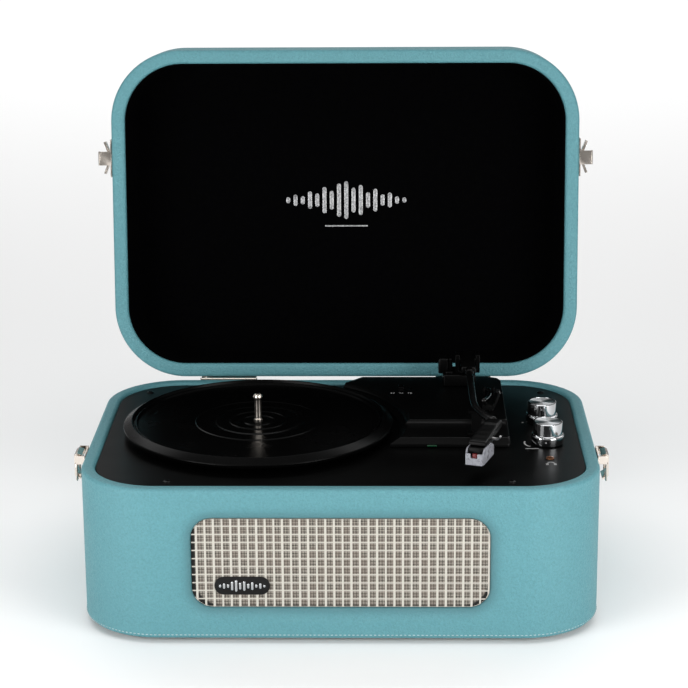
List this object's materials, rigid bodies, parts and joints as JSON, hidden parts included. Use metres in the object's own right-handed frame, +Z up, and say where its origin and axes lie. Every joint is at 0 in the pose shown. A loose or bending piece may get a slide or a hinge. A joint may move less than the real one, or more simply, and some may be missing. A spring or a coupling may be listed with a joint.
{
  "type": "portable record player",
  "caption": "Suitcase record player with a hinged leather-covered lid, belt-driven platter, tonearm and built-in speakers behind a cloth grille.",
  "frame": {"origin": "middle of the bounding box's underside, on the surface the feet stand on, with the lid open", "axes": "+X to the right seen from the front, +Y to the back where the hinges are, +Z up"},
  "size_m": [0.3812, 0.3334, 0.366],
  "materials": {
    "leatherette": "pebbled turquoise leatherette",
    "black_plastic": "fine satin black",
    "gloss_black": "gloss black",
    "black_felt": "deep black lining",
    "grille_weave": "grey open weave with cream threads",
    "board": "plain fibreboard",
    "paper": "black paper pulp",
    "steel": "plain",
    "nickel": "bright nickel plate",
    "chrome": "polished, spun top",
    "brass": "plain",
    "rubber": "matt",
    "green_board": "circuit board",
    "green_lens": "clear green",
    "red_plastic": "translucent red",
    "clear_white": "milky translucent"
  },
  "bodies": {
    "base": {"case_shell": "leatherette", "bottom_panel": "board", "foot_1": "rubber", "foot_2": "rubber", "foot_3": "rubber", "foot_4": "rubber", "grille_cloth": "grille_weave", "speaker_baffle": "board", "speaker_frame_left": "steel", "speaker_frame_right": "steel", "speaker_cone_left": "paper", "speaker_cone_right": "paper", "grille_badge": "chrome", "deck_plate": "black_plastic", "mechanism_plate": "black_plastic", "spindle": "nickel", "motor": "steel", "main_board": "green_board", "socket_plate": "black_plastic", "dc_socket": "black_plastic", "rca_sockets": "black_plastic", "line_in_socket": "chrome", "headphone_socket": "brass", "power_led": "green_lens", "volume_pot": "steel", "mode_switch": "steel", "arm_rest": "black_plastic", "tonearm_tower": "black_plastic", "hinge_base_leaf_left": "nickel", "hinge_base_leaf_right": "nickel", "hinge_pin_left": "nickel", "hinge_pin_right": "nickel", "latch_plate_left": "nickel", "latch_plate_right": "nickel", "drive_belt": "rubber"},
    "lid": {"lid_shell": "leatherette", "lid_lining": "black_felt", "hinge_lid_leaf_left": "nickel", "hinge_lid_leaf_right": "nickel", "latch_keeper_left": "nickel", "latch_keeper_right": "nickel"},
    "platter_body": {"platter": "gloss_black"},
    "pulley_body": {"motor_pulley": "brass"},
    "turret_body": {"tonearm_turret": "black_plastic"},
    "arm_body": {"arm_block": "black_plastic", "arm_tube": "gloss_black", "headshell": "black_plastic", "cartridge": "black_plastic", "stylus": "red_plastic", "stylus_guard": "clear_white"},
    "volume_body": {"volume_knob": "chrome"},
    "mode_body": {"mode_knob": "chrome"},
    "selector_body": {"speed_selector": "gloss_black"},
    "auto_stop_body": {"auto_stop_switch": "gloss_black"},
    "cue_body": {"cue_lever": "gloss_black"},
    "clip_body": {"arm_clip": "black_plastic"},
    "lever_left_body": {"latch_lever_left": "nickel"},
    "lever_right_body": {"latch_lever_right": "nickel"},
    "bail_left_body": {"latch_bail_left": "nickel"},
    "bail_right_body": {"latch_bail_right": "nickel"}
  },
  "joints": [
    {"name": "lid_hinge", "type": "hinge", "parent": "base", "child": "lid", "pos_m": [0, 0.08935, 0.11175], "axis": [-1, 0, 0], "range_deg": [-96.1, 0]},
    {"name": "platter_spin", "type": "hinge", "parent": "base", "child": "platter_body", "pos_m": [-0.0613, -0.03507, 0.1185], "axis": [0, 0, 1], "continuous": true},
    {"name": "motor_spin", "type": "hinge", "parent": "base", "child": "pulley_body", "pos_m": [-0.1306, 0.00493, 0.114], "axis": [0, 0, 1], "continuous": true},
    {"name": "tonearm_swing", "type": "hinge", "parent": "base", "child": "turret_body", "pos_m": [0.0937, 0.05543, 0.1365], "axis": [0, 0, -1], "range_deg": [0, 43]},
    {"name": "tonearm_lift", "type": "hinge", "parent": "turret_body", "child": "arm_body", "pos_m": [0.0937, 0.05543, 0.1365], "axis": [-1, 0, 0], "range_deg": [0, 12]},
    {"name": "cue_turn", "type": "hinge", "parent": "base", "child": "cue_body", "pos_m": [0.109, 0.02643, 0.1222], "axis": [-1, 0, 0], "range_deg": [0, 40]},
    {"name": "clip_turn", "type": "hinge", "parent": "base", "child": "clip_body", "pos_m": [0.1036, -0.05857, 0.137], "axis": [0, 1, 0], "range_deg": [-110, 0]},
    {"name": "volume_turn", "type": "hinge", "parent": "base", "child": "volume_body", "pos_m": [0.1472, -0.06307, 0.111], "axis": [0, 0, 1], "range_deg": [-135, 135]},
    {"name": "mode_turn", "type": "hinge", "parent": "base", "child": "mode_body", "pos_m": [0.146, -0.01657, 0.111], "axis": [0, 0, 1], "range_deg": [-60, 60]},
    {"name": "selector_slide", "type": "slide", "parent": "base", "child": "selector_body", "axis": [1, 0, 0], "range_m": [-0.005, 0.005]},
    {"name": "auto_stop_slide", "type": "slide", "parent": "base", "child": "auto_stop_body", "axis": [0, 1, 0], "range_m": [0, 0.004]},
    {"name": "lever_left_turn", "type": "hinge", "parent": "base", "child": "lever_left_body", "pos_m": [-0.1846, -0.08357, 0.109], "axis": [0, 1, 0], "range_deg": [0, 85]},
    {"name": "lever_right_turn", "type": "hinge", "parent": "base", "child": "lever_right_body", "pos_m": [0.1846, -0.08357, 0.109], "axis": [0, -1, 0], "range_deg": [0, 85]},
    {"name": "bail_left_turn", "type": "hinge", "parent": "lever_left_body", "child": "bail_left_body", "pos_m": [-0.1868, -0.08357, 0.1049], "axis": [0, -1, 0], "range_deg": [-180, 0]},
    {"name": "bail_right_turn", "type": "hinge", "parent": "lever_right_body", "child": "bail_right_body", "pos_m": [0.1868, -0.08357, 0.1049], "axis": [0, 1, 0], "range_deg": [-180, 0]}
  ],
  "couplings": [
    {"joint": "motor_spin", "follows": "platter_spin", "ratio": 11.14}
  ]
}
